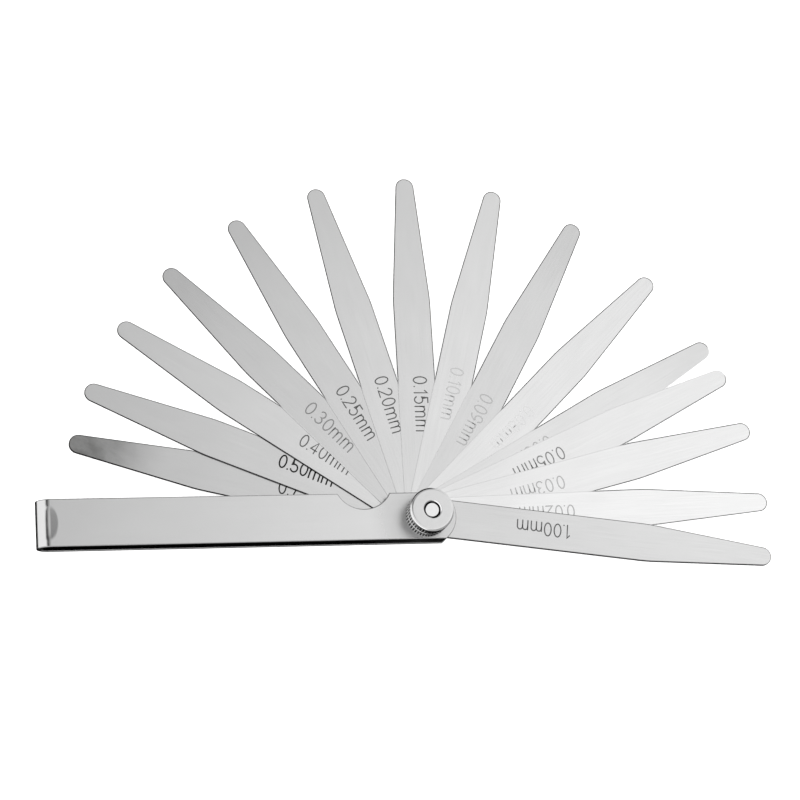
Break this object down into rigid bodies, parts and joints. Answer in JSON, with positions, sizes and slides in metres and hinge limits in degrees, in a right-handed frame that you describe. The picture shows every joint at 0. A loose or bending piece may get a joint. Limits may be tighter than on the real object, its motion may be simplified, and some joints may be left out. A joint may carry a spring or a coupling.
{
  "type": "feeler gauge",
  "caption": "Folding feeler gauge: a fan of tapered steel thickness blades on one pivot screw, in a folded sheet-steel case clamped by a knurled thumb nut.",
  "frame": {"origin": "on the pivot axis, at the flat rear face of the pivot screw's head, which is the lowest plane of the part", "axes": "+Z along the pivot axis, from the screw head to the thumb nut; -X along the case, from the pivot to its bend; +Y across the case, to the side with the thumb notch that the blades are fanned out of"},
  "size_m": [0.1965, 0.1103, 0.0139],
  "materials": {
    "blade_steel": "ground and polished hardened spring steel, satin",
    "case_steel": "satin nickel-plated sheet steel",
    "fastener_steel": "turned and nickel-plated steel"
  },
  "bodies": {
    "case": {"case": "case_steel", "pivot_screw": "fastener_steel"},
    "blade_0_75": {"blade_0_75": "blade_steel"},
    "blade_0_50": {"blade_0_50": "blade_steel"},
    "blade_0_40": {"blade_0_40": "blade_steel"},
    "blade_0_30": {"blade_0_30": "blade_steel"},
    "blade_0_25": {"blade_0_25": "blade_steel"},
    "blade_0_20": {"blade_0_20": "blade_steel"},
    "blade_0_15": {"blade_0_15": "blade_steel"},
    "blade_0_10": {"blade_0_10": "blade_steel"},
    "blade_0_09": {"blade_0_09": "blade_steel"},
    "blade_0_08": {"blade_0_08": "blade_steel"},
    "blade_0_07": {"blade_0_07": "blade_steel"},
    "blade_0_06": {"blade_0_06": "blade_steel"},
    "blade_0_05": {"blade_0_05": "blade_steel"},
    "blade_0_04": {"blade_0_04": "blade_steel"},
    "blade_0_03": {"blade_0_03": "blade_steel"},
    "blade_0_02": {"blade_0_02": "blade_steel"},
    "blade_1_00": {"blade_1_00": "blade_steel"},
    "thumb_nut": {"thumb_nut": "fastener_steel"}
  },
  "joints": [
    {"name": "blade_0_75_swing", "type": "hinge", "parent": "case", "child": "blade_0_75", "pos_m": [0, 0, 0.004], "axis": [0, 0, 1], "range_deg": [-346.3, 13.7]},
    {"name": "blade_0_50_swing", "type": "hinge", "parent": "case", "child": "blade_0_50", "pos_m": [0, 0, 0.004], "axis": [0, 0, 1], "range_deg": [-337.4, 22.6]},
    {"name": "blade_0_40_swing", "type": "hinge", "parent": "case", "child": "blade_0_40", "pos_m": [0, 0, 0.004], "axis": [0, 0, 1], "range_deg": [-325.5, 34.5]},
    {"name": "blade_0_30_swing", "type": "hinge", "parent": "case", "child": "blade_0_30", "pos_m": [0, 0, 0.004], "axis": [0, 0, 1], "range_deg": [-313.5, 46.5]},
    {"name": "blade_0_25_swing", "type": "hinge", "parent": "case", "child": "blade_0_25", "pos_m": [0, 0, 0.004], "axis": [0, 0, 1], "range_deg": [-299.5, 60.5]},
    {"name": "blade_0_20_swing", "type": "hinge", "parent": "case", "child": "blade_0_20", "pos_m": [0, 0, 0.004], "axis": [0, 0, 1], "range_deg": [-284.7, 75.3]},
    {"name": "blade_0_15_swing", "type": "hinge", "parent": "case", "child": "blade_0_15", "pos_m": [0, 0, 0.004], "axis": [0, 0, 1], "range_deg": [-269.3, 90.7]},
    {"name": "blade_0_10_swing", "type": "hinge", "parent": "case", "child": "blade_0_10", "pos_m": [0, 0, 0.004], "axis": [0, 0, 1], "range_deg": [-254.1, 105.9]},
    {"name": "blade_0_09_swing", "type": "hinge", "parent": "case", "child": "blade_0_09", "pos_m": [0, 0, 0.004], "axis": [0, 0, 1], "range_deg": [-239.4, 120.6]},
    {"name": "blade_0_08_swing", "type": "hinge", "parent": "case", "child": "blade_0_08", "pos_m": [0, 0, 0.004], "axis": [0, 0, 1], "range_deg": [-223.9, 136.1]},
    {"name": "blade_0_07_swing", "type": "hinge", "parent": "case", "child": "blade_0_07", "pos_m": [0, 0, 0.004], "axis": [0, 0, 1], "range_deg": [-209.3, 150.7]},
    {"name": "blade_0_06_swing", "type": "hinge", "parent": "case", "child": "blade_0_06", "pos_m": [0, 0, 0.004], "axis": [0, 0, 1], "range_deg": [-209.3, 150.7]},
    {"name": "blade_0_05_swing", "type": "hinge", "parent": "case", "child": "blade_0_05", "pos_m": [0, 0, 0.004], "axis": [0, 0, 1], "range_deg": [-203.7, 156.3]},
    {"name": "blade_0_04_swing", "type": "hinge", "parent": "case", "child": "blade_0_04", "pos_m": [0, 0, 0.004], "axis": [0, 0, 1], "range_deg": [-193.8, 166.2]},
    {"name": "blade_0_03_swing", "type": "hinge", "parent": "case", "child": "blade_0_03", "pos_m": [0, 0, 0.004], "axis": [0, 0, 1], "range_deg": [-193.8, 166.2]},
    {"name": "blade_0_02_swing", "type": "hinge", "parent": "case", "child": "blade_0_02", "pos_m": [0, 0, 0.004], "axis": [0, 0, 1], "range_deg": [-181.4, 178.6]},
    {"name": "blade_1_00_swing", "type": "hinge", "parent": "case", "child": "blade_1_00", "pos_m": [0, 0, 0.004], "axis": [0, 0, 1], "range_deg": [-172, 188]},
    {"name": "thumb_nut_turn", "type": "hinge", "parent": "case", "child": "thumb_nut", "pos_m": [0, 0, 0.01], "axis": [0, 0, 1], "range_deg": [0, 720]}
  ]
}
